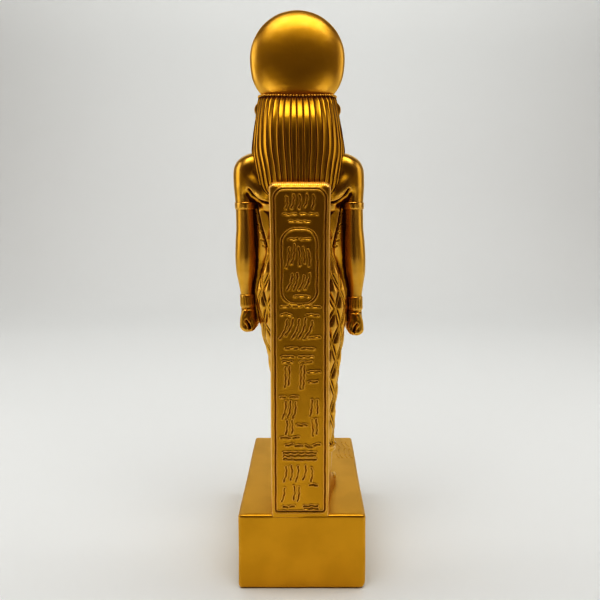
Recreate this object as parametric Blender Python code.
# A souvenir figure of a lioness-headed goddess with a sun disc on her head. She stands against an
# inscribed back pillar on a rectangular plinth, and the whole work is one casting.
# Metres, +Z up. She faces -Y, and the origin is the centre of the plinth's underside.

import math

import bmesh
import bpy
import numpy as np
from mathutils import Vector

# Driving sizes
PLINTH_WIDTH = 0.065
PLINTH_HEIGHT = 0.0394
PLINTH_FOOT_FLARE = 1.009
PLINTH_ROUNDING = 0.0016
TOE_MARGIN = 0.0246
PILLAR_WIDTH = 0.0296
PILLAR_DEPTH = 0.014
PILLAR_OFFSET = 0.0009
PILLAR_CORNER = 0.0022
PILLAR_ROUNDING = 0.0008
FIGURE_HEIGHT = 0.215
DISC_RADIUS = 0.0248
DISC_THICKNESS = 0.016

# The carved line round the inscription, and the long ring inside it
FRAME_BAND = 0.0021
GROOVE_WIDTH = 0.0009
GROOVE_DEPTH = 0.0007
GROOVE_CORNER = 0.0045
GROOVE_LOW_CORNER = 0.0014

# The figure is laid out in parts, 215 of them from the plinth's top to the crown of the wig
PART = FIGURE_HEIGHT / 215
PILLAR_TOP = 168.7
PILLAR_FLARE_FROM = 141
PILLAR_FLARE = 1.045
BODY_BEFORE_PILLAR = 12
LEADING_TOE = 55
LEAN = 0.0195
UPRIGHT_AT = 80

PLINTH_DEPTH = PILLAR_DEPTH + (BODY_BEFORE_PILLAR + LEADING_TOE) * PART + TOE_MARGIN
BACK_Y = PLINTH_DEPTH / 2
BODY_Y = BACK_Y - PILLAR_DEPTH - BODY_BEFORE_PILLAR * PART
PILLAR_HEIGHT = PILLAR_TOP * PART

GOLD = (0.62, 0.36, 0.045, 1.0)


# Places on the figure, and closed shapes made from rings of points


def at(across, forward, up):
    """A point given in parts: towards her left, forward of the body's axis and above the plinth."""
    return Vector((
        (across + LEAN * (up - UPRIGHT_AT)) * PART,
        BODY_Y - forward * PART,
        PLINTH_HEIGHT + up * PART,
    ))


def along(stations, place):
    """The row of sizes at a place, read from a short table whose first column is the place."""
    table = np.array(stations, float)
    return [float(np.interp(place, table[:, 0], table[:, k])) for k in range(1, table.shape[1])]


def power(value, exponent):
    return math.copysign(abs(value) ** exponent, value)


def oval(across, forward, half_width, half_depth, sides, squareness=2.0):
    """The (across, forward) corners of a level oval. A squareness over 2 fills its corners."""
    corners = []
    for k in range(sides):
        angle = math.tau * (k + 0.5) / sides
        corners.append((
            across + half_width * power(math.cos(angle), 2 / squareness),
            forward + half_depth * power(math.sin(angle), 2 / squareness),
        ))
    return corners


def level_ring(up, corners):
    return [at(across, forward, up) for across, forward in corners]


def upright_ring(forward, corners):
    return [at(across, forward, up) for across, up in corners]


def measured(path):
    """The share of a path's length at which each of its points lies."""
    steps = np.linalg.norm(np.diff(path, axis=0), axis=1)
    lengths = np.concatenate([[0], np.cumsum(steps)])
    return lengths / lengths[-1]


def solid(name, points, faces):
    mesh = bpy.data.meshes.new(name)
    mesh.from_pydata([tuple(p) for p in points], [], faces)
    shape = bmesh.new()
    shape.from_mesh(mesh)
    bmesh.ops.recalc_face_normals(shape, faces=shape.faces)
    shape.to_mesh(mesh)
    shape.free()
    made = bpy.data.objects.new(name, mesh)
    bpy.context.scene.collection.objects.link(made)
    return made


def loft(name, rings, first_tip=None, last_tip=None):
    """A closed skin through rings of equal length. A tip closes an end as a cone, or else a flat cap."""
    points = [p for ring in rings for p in ring]
    sides = len(rings[0])
    faces = []
    for low in range(len(rings) - 1):
        for k in range(sides):
            after = (k + 1) % sides
            faces.append((
                low * sides + k,
                low * sides + after,
                (low + 1) * sides + after,
                (low + 1) * sides + k,
            ))
    for tip, start in ((first_tip, 0), (last_tip, (len(rings) - 1) * sides)):
        if tip is None:
            faces.append(tuple(range(start, start + sides)))
            continue
        points.append(tip)
        faces += [(start + k, start + (k + 1) % sides, len(points) - 1) for k in range(sides)]
    return solid(name, points, faces)


# Plinth and back pillar: one block with a slab drawn up out of it, flush with its back


def sharp_edges(shape):
    return [e for e in shape.edges if e.calc_face_angle(0) > math.radians(60) and e.is_convex]


def round_off(shape, edges, width, steps):
    bmesh.ops.bevel(shape, geom=edges, offset=width, segments=steps, profile=0.5, affect="EDGES")


def plinth_and_pillar():
    shape = bmesh.new()
    bmesh.ops.create_cube(shape, size=1)
    for vertex in shape.verts:
        vertex.co.x *= PLINTH_WIDTH * (1 if vertex.co.z > 0 else PLINTH_FOOT_FLARE)
        vertex.co.y *= PLINTH_DEPTH
        vertex.co.z = PLINTH_HEIGHT if vertex.co.z > 0 else 0
    left = PILLAR_OFFSET + PILLAR_WIDTH / 2
    right = PILLAR_OFFSET - PILLAR_WIDTH / 2
    front = BACK_Y - PILLAR_DEPTH
    for place, normal in (((left, 0, 0), (1, 0, 0)), ((right, 0, 0), (1, 0, 0)), ((0, front, 0), (0, 1, 0))):
        top = [f for f in shape.faces if f.normal.z > 0.5]
        around = {e for f in top for e in f.edges} | {v for f in top for v in f.verts}
        bmesh.ops.bisect_plane(shape, geom=[*top, *around], plane_co=place, plane_no=normal)
    foot = []
    for face in shape.faces:
        centre = face.calc_center_median()
        if face.normal.z > 0.5 and right < centre.x < left and centre.y > front:
            foot.append(face)
    for height, widening in ((PILLAR_FLARE_FROM * PART, 1), (PILLAR_HEIGHT, PILLAR_FLARE)):
        drawn = bmesh.ops.extrude_face_region(shape, geom=foot)["geom"]
        bmesh.ops.delete(shape, geom=foot, context="FACES")
        foot = [f for f in drawn if isinstance(f, bmesh.types.BMFace)]
        for vertex in {v for f in foot for v in f.verts}:
            vertex.co.z = PLINTH_HEIGHT + height
            vertex.co.x = PILLAR_OFFSET + (vertex.co.x - PILLAR_OFFSET) * widening
    bmesh.ops.recalc_face_normals(shape, faces=shape.faces)
    bmesh.ops.dissolve_limit(
        shape, angle_limit=math.radians(1), verts=shape.verts, edges=shape.edges, delimit={"NORMAL"}
    )
    low = [e for e in sharp_edges(shape) if max(v.co.z for v in e.verts) < PLINTH_HEIGHT * 1.01]
    round_off(shape, low, PLINTH_ROUNDING, 2)
    corners = []
    for edge in sharp_edges(shape):
        one, other = (v.co for v in edge.verts)
        if min(one.z, other.z) > PLINTH_HEIGHT + 0.9 * PILLAR_HEIGHT and abs(one.x - other.x) < 1e-6:
            corners.append(edge)
    round_off(shape, corners, PILLAR_CORNER, 3)
    high = [e for e in sharp_edges(shape) if max(v.co.z for v in e.verts) > PLINTH_HEIGHT * 1.01]
    round_off(shape, high, PILLAR_ROUNDING, 1)
    mesh = bpy.data.meshes.new("statue")
    shape.to_mesh(mesh)
    shape.free()
    made = bpy.data.objects.new("statue", mesh)
    bpy.context.scene.collection.objects.link(made)
    return made


def rounded_outline(left, right, bottom, top, corner, low_corner, steps=4):
    """The (x, z) outline of an upright rectangle with round corners, counter-clockwise."""
    centres = (
        (right - corner, top - corner, corner, 0),
        (left + corner, top - corner, corner, 90),
        (left + low_corner, bottom + low_corner, low_corner, 180),
        (right - low_corner, bottom + low_corner, low_corner, 270),
    )
    outline = []
    for x, z, radius, start in centres:
        for k in range(steps + 1):
            angle = math.radians(start + 90 * k / steps)
            outline.append((x + radius * math.cos(angle), z + radius * math.sin(angle)))
    return outline


def carved_line(name, left, right, bottom, top, corner, low_corner):
    """A cutter that sinks a line along a rounded outline into the pillar's back."""
    outer = rounded_outline(left, right, bottom, top, corner, low_corner)
    inner = rounded_outline(
        left + GROOVE_WIDTH, right - GROOVE_WIDTH, bottom + GROOVE_WIDTH, top - GROOVE_WIDTH,
        corner - GROOVE_WIDTH, low_corner - GROOVE_WIDTH,
    )
    points = []
    for outline, y in (
        (outer, BACK_Y - GROOVE_DEPTH),
        (outer, BACK_Y + GROOVE_DEPTH),
        (inner, BACK_Y + GROOVE_DEPTH),
        (inner, BACK_Y - GROOVE_DEPTH),
    ):
        points += [Vector((x, y, z)) for x, z in outline]
    sides = len(outer)
    faces = []
    for low in range(4):
        high = (low + 1) % 4
        for k in range(sides):
            after = (k + 1) % sides
            faces.append((low * sides + k, low * sides + after, high * sides + after, high * sides + k))
    return solid(name, points, faces)


# Skirt: a tight sheath round both legs, the left one forward, under a net of crossing cords

SKIRT_HEM = 29
SKIRT_TOP = 141
NET_COLUMNS = 14
NET_ROWS = 12
NET_CORD = 0.75
NET_PILLOW = 0.6
NET_INSET = 0.66
# Height, then across, forward and radius of her right leg, the same of her left, and how much
# deeper than wide both are
LEGS = (
    (27, -7.6, -6.2, 8.0, 8.0, 29.0, 8.2, 1.0),
    (50, -8.5, -5.4, 8.7, 8.6, 21.0, 8.8, 1.0),
    (70, -9.7, -4.3, 9.8, 9.4, 13.5, 9.7, 1.0),
    (88, -10.8, -2.6, 11.3, 10.8, 6.5, 11.1, 1.0),
    (105, -11.1, -0.9, 13.2, 11.1, 1.2, 13.2, 1.0),
    (120, -9.5, -1.4, 12.2, 9.5, -0.6, 12.2, 1.02),
    (131, -7.6, -1.8, 10.6, 7.6, -1.8, 10.6, 1.12),
    (143, -6.8, -1.6, 9.4, 6.8, -1.6, 9.4, 1.24),
)


def skirt_outline(up):
    """The level hull round both legs, from the middle of the back, with its length measured."""
    sizes = along(LEGS, up)
    deeper = sizes[6]
    legs = [(sizes[0], sizes[1] / deeper, sizes[2]), (sizes[3], sizes[4] / deeper, sizes[5])]
    hull = []
    for angle in np.linspace(0, math.tau, 180, endpoint=False):
        away = np.array((math.cos(angle), math.sin(angle)))
        leg = max(legs, key=lambda leg: leg[0] * away[0] + leg[1] * away[1] + leg[2])
        hull.append((leg[0] + leg[2] * away[0], (leg[1] + leg[2] * away[1]) * deeper))
    hull = np.array(hull)
    middle = (legs[0][0] + legs[1][0]) / 2
    start = next(
        k for k in range(len(hull))
        if hull[k - 1][1] < sizes[1] and hull[k - 1][0] < middle <= hull[k][0]
    )
    share = (middle - hull[start - 1][0]) / (hull[start][0] - hull[start - 1][0])
    crossing = hull[start - 1] + (hull[start] - hull[start - 1]) * share
    path = np.vstack([crossing, np.roll(hull, -start, axis=0), crossing])
    return path, measured(path)


def on_skirt(outlines, turn, up, raised):
    """A point on the skirt at a share of a turn round it, raised from its surface."""
    if up not in outlines:
        outlines[up] = skirt_outline(up)
    path, shares = outlines[up]
    here, before, after = (
        np.array([np.interp(t % 1.0, shares, path[:, k]) for k in (0, 1)])
        for t in (turn, turn - 0.01, turn + 0.01)
    )
    along_edge = after - before
    outward = np.array((along_edge[1], -along_edge[0])) / np.linalg.norm(along_edge)
    across, forward = here + outward * raised
    return at(across, forward, up)


def skirt():
    outlines = {}
    step_up = (SKIRT_TOP - SKIRT_HEM) / NET_ROWS
    points, faces = [], []

    def point(column, row, raised):
        points.append(on_skirt(outlines, column / NET_COLUMNS, SKIRT_HEM + row * step_up, raised))
        return len(points) - 1

    knots = [
        [point(k + 0.5 * (row % 2), row, NET_CORD) for k in range(NET_COLUMNS)]
        for row in range(NET_ROWS + 1)
    ]
    for row in range(NET_ROWS + 1):
        shift = row % 2
        for k in range(NET_COLUMNS):
            west, east = knots[row][k], knots[row][(k + 1) % NET_COLUMNS]
            beside = (k + shift) % NET_COLUMNS
            north = knots[row + 1][beside] if row < NET_ROWS else None
            south = knots[row - 1][beside] if row > 0 else None
            if north is None or south is None:
                faces.append((west, east, north if south is None else south))
                continue
            middle = k + 0.5 + 0.5 * shift
            ring = (west, south, east, north)
            inner = [
                point(middle + 0.5 * NET_INSET * dx, row + NET_INSET * dz, 0)
                for dx, dz in ((-1, 0), (0, -1), (1, 0), (0, 1))
            ]
            top = point(middle, row, NET_PILLOW)
            for side in range(4):
                after = (side + 1) % 4
                faces.append((ring[side], ring[after], inner[after], inner[side]))
                faces.append((inner[side], inner[after], top))
    faces.append(tuple(knots[0]))
    faces.append(tuple(knots[-1]))
    return solid("skirt", points, faces)


def skirt_band(name, low, high, raised, sides=28):
    """A plain band round the skirt, as at the hem and the belt."""
    outlines = {}
    rings = []
    for up, out in ((low, raised - 0.5), (low + 0.4, raised), (high - 0.4, raised), (high, raised - 0.5)):
        rings.append([on_skirt(outlines, k / sides, up, out) for k in range(sides)])
    return loft(name, rings)


# Feet and ankles under the hem

TOES = 5
TOES_FROM = 15
SINK = 1.0
# Forward of the ankle, half width and height
FOOT = (
    (-7.6, 2.4, 5.0),
    (-6.2, 4.2, 9.0),
    (0.0, 4.9, 14.0),
    (8.0, 5.3, 10.5),
    (15.0, 5.8, 7.2),
    (20.5, 6.0, 5.0),
    (24.0, 5.4, 4.2),
    (26.0, 4.2, 2.6),
)


def foot(name, across, ankle_at, turned_out):
    """A bare foot: a low loft from heel to toes, with grooves between the toes along its top."""
    rings = []
    peaks = 2 * TOES + 1
    for forward, half_width, height in FOOT:
        centre = across + turned_out * (forward + 8)
        groove = 0.18 * height if forward > TOES_FROM else 0
        ring = [at(centre + half_width, ankle_at + forward, -SINK)]
        for k in range(peaks):
            angle = math.pi * k / (peaks - 1)
            low = groove if k % 2 == 0 and 0 < k < peaks - 1 else 0
            ring.append(at(
                centre + half_width * power(math.cos(angle), 0.8),
                ankle_at + forward,
                max(0.3, height * power(math.sin(angle), 0.75) - low),
            ))
        ring.append(at(centre - half_width, ankle_at + forward, -SINK))
        rings.append(ring)
    return loft(name, rings)


def ankle(name, across, forward):
    rings = [
        level_ring(up, oval(across, forward, half_width, half_depth, 12))
        for up, half_width, half_depth in ((2, 4.8, 5.6), (9, 5.3, 6.0), (18, 6.6, 7.0), (34, 7.2, 7.6))
    ]
    return loft(name, rings)


def web(name, stations, squareness=4):
    """A thin wall of the casting between two forms: height, across, forward and half sizes."""
    rings = [
        level_ring(up, oval(across, forward, half_width, half_depth, 8, squareness))
        for up, across, forward, half_width, half_depth in stations
    ]
    return loft(name, rings)


# Torso with the dress's upper band, the broad collar and the breasts

TORSO_SIDES = 22
# Height, half width, forward and half depth
TORSO = (
    (134, 16.8, -1.6, 11.6),
    (141, 16.4, -1.6, 11.8),
    (147, 17.8, -1.2, 12.3),
    (153.8, 20.8, 0.0, 13.3),
    (154.2, 21.6, 0.0, 14.0),
    (159.0, 22.8, 0.6, 14.5),
    (159.4, 22.3, 0.7, 14.1),
    (166, 24.8, 0.8, 14.2),
    (172, 26.8, 0.6, 13.4),
    (177.5, 28.0, 0.2, 12.2),
    (181.5, 26.6, 0.0, 10.2),
    (184.2, 23.4, 0.0, 8.6),
    (186.0, 16.0, 0.5, 8.2),
    (195, 11.0, 1.0, 8.4),
)
COLLAR_BOTTOM = 161
COLLAR_TOP = 184
COLLAR_REACH = 21
COLLAR_RAISED = 0.9
BREAST_HEIGHT = 159.5


def torso():
    rings = []
    for up, half_width, forward, half_depth in TORSO:
        corners = []
        for across, depth in oval(0, forward, half_width, half_depth, TORSO_SIDES, 2.3):
            reach = math.hypot(across, COLLAR_TOP - up)
            if depth > 4 and COLLAR_BOTTOM < up < COLLAR_TOP and reach < COLLAR_REACH:
                depth += COLLAR_RAISED
            corners.append((across, depth))
        rings.append(level_ring(up, corners))
    return loft("torso", rings)


def breast(name, side):
    rings = []
    for forward, radius in ((8, 7.4), (12, 7.0), (15.5, 5.4), (17.6, 3.2)):
        rings.append(upright_ring(forward, oval(side * 9.2, BREAST_HEIGHT, radius, radius, 10)))
    return loft(name, rings, last_tip=at(side * 9.2, 18.2, BREAST_HEIGHT))


# Arms, straight down at the sides, with an armlet, a bracelet and closed fists

ARM_SIDES = 12
ELBOW = 131
RIGHT_ARM_LONGER = 0.055
# Height, across, half width, forward and half depth
ARM = (
    (184.2, 22.4, 3.6, 0.0, 4.0),
    (182.4, 24.0, 5.6, 0.0, 6.4),
    (179.4, 25.4, 7.4, 0.0, 7.8),
    (175.6, 26.3, 8.0, 0.0, 8.4),
    (168.0, 27.0, 7.5, -0.1, 8.2),
    (162.5, 27.6, 6.5, -0.3, 7.2),
    (158.7, 28.1, 5.6, -0.3, 6.8),
    (158.5, 28.1, 6.1, -0.3, 7.3),
    (154.9, 28.3, 5.9, -0.3, 7.1),
    (154.7, 28.3, 5.4, -0.3, 6.6),
    (146.0, 28.3, 5.4, -0.4, 6.3),
    (138.0, 28.4, 5.9, -0.4, 6.2),
    (130.0, 28.6, 6.1, -0.3, 6.1),
    (122.0, 28.9, 5.6, 0.3, 5.6),
    (114.5, 29.1, 4.2, 0.8, 4.5),
    (109.6, 28.9, 3.6, 1.0, 4.0),
    (109.4, 28.9, 4.1, 1.0, 4.6),
    (102.4, 28.8, 4.2, 1.0, 4.7),
    (102.2, 28.8, 3.7, 1.0, 4.1),
    (98.0, 28.5, 3.6, 1.0, 4.3),
)
FIST_ACROSS = 28.2
FIST_HEIGHT = 96.2
FIST_HALF_WIDTH = 5.1
FIST_HALF_HEIGHT = 6.3
FINGERS = 4
FINGER_WIDTH = 2.7
FIST_BACK = -4.6
# Height, across, forward and radius
THUMB = ((100.5, 26.6, 5.0, 2.0), (97.5, 25.2, 6.4, 2.2), (94.0, 24.6, 6.8, 2.0), (91.8, 24.8, 6.6, 1.2))


def hang(side, up):
    """The height on an arm at this side. Below the elbow her right arm is a little longer."""
    if side > 0 or up > ELBOW:
        return up
    return up - RIGHT_ARM_LONGER * (ELBOW - up)


def arm(name, side):
    rings = [
        level_ring(hang(side, up), oval(side * across, forward, half_width, half_depth, ARM_SIDES))
        for up, across, half_width, forward, half_depth in ARM
    ]
    return loft(name, rings)


def fist(name, side):
    """A closed fist, lofted from the little finger to the first, with a groove after each finger."""
    middle = hang(side, FIST_HEIGHT)
    stops = [(0, 0.72, 1.0)]
    for finger in range(FINGERS):
        stops += [(finger + 0.45, 1.0, 1.0), (finger + 1, 0.97, 0.84)]
    stops[-1] = (FINGERS, 0.74, 1.0)
    rings = []
    for place, share, pinch in stops:
        corners = []
        for k in range(10):
            angle = math.tau * (k + 0.5) / 10
            out, rise = power(math.cos(angle), 0.75), power(math.sin(angle), 0.75)
            size = share * (pinch if out < 0.3 and rise < 0.6 else 1.0)
            corners.append((
                side * (FIST_ACROSS + FIST_HALF_WIDTH * size * out),
                middle + FIST_HALF_HEIGHT * size * rise,
            ))
        rings.append(upright_ring(FIST_BACK + FINGER_WIDTH * place, corners))
    return loft(name, rings)


def thumb(name, side):
    rings = [
        level_ring(hang(side, up), oval(side * across, forward, radius, radius, 8))
        for up, across, forward, radius in THUMB
    ]
    return loft(name, rings)


# Wig: a striped mass down the back, and two lappets in front of the shoulders

WIG_STRANDS = 24
WIG_RELIEF = 0.4
# Height, half width, how far the back stands behind the axis, and the front edge
WIG = (
    (161.0, 15.6, -13.6, -2.0),
    (163.0, 18.4, -15.2, -2.0),
    (166.0, 20.6, -16.6, -2.0),
    (170.5, 21.9, -18.0, -2.0),
    (177.0, 23.2, -19.6, -1.0),
    (185.0, 24.0, -20.4, 2.0),
    (193.5, 23.2, -20.4, 4.0),
    (200.5, 22.4, -19.8, 5.0),
    (207.0, 21.6, -17.8, 6.0),
    (211.4, 20.8, -14.8, 7.0),
    (214.2, 19.0, -10.2, 6.0),
    (215.0, 14.0, -3.0, 4.0),
)


def wig():
    rings = []
    steps = 2 * WIG_STRANDS
    for up, half_width, back, front in WIG:
        path = []
        for angle in np.linspace(0, math.pi, 181):
            path.append((
                half_width * power(math.cos(angle), 0.86),
                front + (back - front) * power(math.sin(angle), 0.80),
            ))
        path = np.array(path)
        shares = measured(path)
        ring = []
        for k, place in enumerate(np.linspace(0, 1, steps + 1)):
            here, before, after = (
                np.array([np.interp(t, shares, path[:, n]) for n in (0, 1)])
                for t in (place, max(0, place - 0.01), min(1, place + 0.01))
            )
            edge = after - before
            inward = np.array((-edge[1], edge[0])) / np.linalg.norm(edge)
            ring.append(tuple(here - inward * WIG_RELIEF * (-1) ** (k + 1)))
        inside = 0.55 * half_width
        ring += [(-inside, front + 3), (inside, front + 3)]
        rings.append(level_ring(up, ring))
    return loft("wig", rings)


LAPPET_STRANDS = 5
# Height, inner and outer edge, front and back
LAPPET = (
    (148.5, 8.4, 17.6, 16.6, 8),
    (149.2, 7.6, 18.6, 17.8, 6),
    (157.5, 7.2, 19.2, 19.2, 4),
    (167.0, 6.8, 20.0, 18.2, 0),
    (176.5, 6.6, 21.0, 16.4, -2),
    (184.5, 7.2, 21.8, 13.2, -4),
    (192.5, 8.8, 22.4, 10.4, -4),
    (202.5, 10.8, 21.8, 8.4, -4),
)


def lappet(name, side):
    rings = []
    steps = 2 * LAPPET_STRANDS
    for up, inner, outer, front, back in LAPPET:
        ring = []
        for k in range(steps + 1):
            share = k / steps
            bulge = math.sin(math.pi * share) ** 0.5
            relief = WIG_RELIEF * (1 if k % 2 else -1)
            depth = front - 3.2 * (1 - bulge) - 2.0 * share + relief
            ring.append((side * (inner + (outer - inner) * share), depth))
        ring += [(side * outer, back), (side * inner, back)]
        rings.append(level_ring(up, ring))
    return loft(name, rings)


# Lioness head, looking forward out of the wig

HEAD_SIDES = 16
# Forward, height of the middle, half width and half height
HEAD = (
    (-4.0, 200.6, 13.6, 12.8),
    (6.0, 200.6, 15.8, 14.2),
    (11.0, 200.6, 15.5, 13.8),
    (15.0, 200.2, 13.9, 12.6),
    (17.6, 198.6, 11.4, 10.8),
    (19.4, 196.9, 9.2, 9.0),
    (22.5, 195.4, 8.2, 7.6),
    (25.4, 194.8, 7.4, 6.8),
    (27.2, 194.6, 5.6, 5.5),
)
NOSE_BRIDGE = (
    (12.0, 208.4, 3.2, 3.6),
    (16.0, 206.0, 3.1, 3.4),
    (20.0, 203.2, 3.0, 3.3),
    (25.0, 200.4, 3.1, 3.0),
    (28.0, 199.3, 3.4, 2.2),
    (28.9, 198.9, 2.4, 1.2),
)
RUFF_TUFTS = 18
RUFF_MIDDLE = 199.0
# Forward, half width, half height and how far the tufts stand out
RUFF = (
    (1.0, 17.6, 12.6, 0),
    (5.5, 22.6, 14.6, 0.6),
    (10.0, 20.6, 16.4, 1.0),
    (14.0, 15.2, 12.8, 0.5),
)


def head():
    rings = [
        upright_ring(forward, oval(0, middle, half_width, half_height, HEAD_SIDES, 2.2))
        for forward, middle, half_width, half_height in HEAD
    ]
    return loft("head", rings, last_tip=at(0, 27.9, 194.7))


def nose_bridge():
    rings = [
        upright_ring(forward, oval(0, middle, half_width, half_height, 8, 2.4))
        for forward, middle, half_width, half_height in NOSE_BRIDGE
    ]
    return loft("nose_bridge", rings)


def bump(name, centre, reach, sides=8):
    """A small rounded form that stands out of its neighbour, as an eye, a cheek or an ear does."""
    across, forward, up = centre
    rings = []
    for share in (-0.8, -0.35, 0.35, 0.8):
        narrower = math.sqrt(1 - share * share)
        corners = oval(across, up, reach[0] * narrower, reach[2] * narrower, sides)
        rings.append(upright_ring(forward + reach[1] * share, corners))
    return loft(name, rings, at(across, forward - reach[1], up), at(across, forward + reach[1], up))


def ruff():
    """The mane round the face: a collar of pointed tufts that shows past the wig's sides."""
    rings = []
    for forward, half_width, half_height, tuft in RUFF:
        corners = []
        for k in range(2 * RUFF_TUFTS):
            angle = math.tau * (k + 0.5) / (2 * RUFF_TUFTS)
            out = tuft * (1 if k % 2 else -1)
            corners.append((
                (half_width + out) * math.cos(angle),
                RUFF_MIDDLE + (half_height + out) * math.sin(angle),
            ))
        rings.append(upright_ring(forward, corners))
    return loft("ruff", rings)


# Sun disc and the rearing cobra before it

DISC_ACROSS = -0.5
DISC_MIDDLE = 233.3
DISC_FORWARD = 1.0
DISC_SIDES = 36
DISC_RINGS = (-62, -36, -14, 14, 36, 62)
# Height, forward, half width and half depth
COBRA = (
    (208.0, 12.0, 2.2, 2.4),
    (213.5, 13.8, 2.6, 1.9),
    (218.0, 14.8, 3.4, 1.5),
    (221.8, 14.8, 3.2, 1.5),
    (224.2, 15.4, 1.9, 2.0),
    (226.0, 16.4, 1.6, 2.2),
    (226.8, 16.8, 0.8, 1.2),
)


def disc():
    """A thick lens on edge. Its rim is a little fuller than a circle low down, where it joins the wig."""
    middle = at(DISC_ACROSS, DISC_FORWARD, DISC_MIDDLE)
    half = DISC_THICKNESS / 2
    rings = []
    for turn in DISC_RINGS:
        swell = math.radians(turn)
        share = math.cos(swell) ** 0.55
        ring = []
        for k in range(DISC_SIDES):
            angle = math.tau * k / DISC_SIDES
            fuller = 2 + (0.45 * share ** 4 if math.sin(angle) < 0 else 0)
            ring.append(middle + Vector((
                DISC_RADIUS * share * power(math.cos(angle), 2 / fuller),
                half * math.sin(swell),
                DISC_RADIUS * share * power(math.sin(angle), 2 / fuller),
            )))
        rings.append(ring)
    return loft("disc", rings, middle - Vector((0, half, 0)), middle + Vector((0, half, 0)))


def cobra():
    rings = [
        level_ring(up, oval(0, forward, half_width, half_depth, 8))
        for up, forward, half_width, half_depth in COBRA
    ]
    return loft("cobra", rings)


def gold_paint():
    paint = bpy.data.materials.new("gold_paint")
    paint.use_nodes = True
    surface = paint.node_tree.nodes["Principled BSDF"]
    surface.inputs["Base Color"].default_value = GOLD
    surface.inputs["Metallic"].default_value = 0.9
    surface.inputs["Roughness"].default_value = 0.38
    return paint


def forms():
    """Every form of the figure, which the casting joins into one body with the plinth."""
    made = [skirt(), skirt_band("hem", SKIRT_HEM - 2.2, SKIRT_HEM + 1.6, 1.1)]
    made.append(skirt_band("belt", SKIRT_TOP - 1.8, SKIRT_TOP + 4.2, 1.3))
    made += [torso(), wig(), head(), nose_bridge(), ruff(), disc(), cobra()]
    made.append(ankle("right_ankle", -8.4, -4.0))
    made.append(ankle("left_ankle", 8.2, 29.0))
    made.append(foot("right_foot", -8.6, -4.0, -0.12))
    made.append(foot("left_foot", 8.4, 29.0, 0.06))
    made.append(web("ankle_web", ((-SINK, 0, 12, 5, 15), (31, 0, 12, 5, 15))))
    for name, side in (("left", 1), ("right", -1)):
        made += [arm(f"{name}_arm", side), fist(f"{name}_fist", side), thumb(f"{name}_thumb", side)]
        made += [breast(f"{name}_breast", side), lappet(f"{name}_lappet", side)]
        made.append(bump(f"{name}_ear", (side * 18.6, 7.5, 208.0), (5.2, 3.0, 4.9)))
        made.append(bump(f"{name}_eye", (side * 7.0, 15.2, 202.8), (3.2, 2.4, 1.7)))
        made.append(bump(f"{name}_jowl", (side * 3.7, 24.4, 194.0), (4.3, 4.5, 3.8)))
        made.append(web(f"{name}_arm_web", (
            (95, side * 23.5, 0.5, 3.5, 3.0), (120, side * 22.8, -0.5, 5.0, 3.2),
            (140, side * 21.6, -0.5, 6.4, 3.2), (162, side * 22.8, -0.5, 5.4, 3.2),
        )))
    return made


def carving():
    """The cutters of the line that frames the inscription, and of the long ring inside it."""
    half = PILLAR_WIDTH / 2 - FRAME_BAND
    left, right = PILLAR_OFFSET - half, PILLAR_OFFSET + half
    top = PLINTH_HEIGHT + PILLAR_HEIGHT - 1.4 * FRAME_BAND
    frame = carved_line(
        "frame_line", left, right, PLINTH_HEIGHT, top, GROOVE_CORNER, GROOVE_LOW_CORNER
    )
    ring = carved_line(
        "ring_line",
        PILLAR_OFFSET - 0.66 * half,
        PILLAR_OFFSET + 0.72 * half,
        PLINTH_HEIGHT + 108 * PART,
        PLINTH_HEIGHT + 145.6 * PART,
        0.6 * half,
        0.6 * half,
    )
    return [frame, ring]


def set_aside(shapes, name):
    """Puts shapes in a collection of helpers that doesn't show."""
    group = bpy.data.collections.new(name)
    bpy.context.scene.collection.children.link(group)
    for shape in shapes:
        bpy.context.scene.collection.objects.unlink(shape)
        group.objects.link(shape)
        shape.hide_render = True
        shape.display_type = "WIRE"
    return group


def main():
    for old in list(bpy.data.objects):
        bpy.data.objects.remove(old)
    statue = plinth_and_pillar()
    statue.data.materials.append(gold_paint())
    for name, operation, shapes in (
        ("join_forms", "UNION", forms()),
        ("cut_lines", "DIFFERENCE", carving()),
    ):
        joined = statue.modifiers.new(name, "BOOLEAN")
        joined.operation = operation
        joined.operand_type = "COLLECTION"
        joined.collection = set_aside(shapes, name)
        joined.solver = "EXACT"


main()
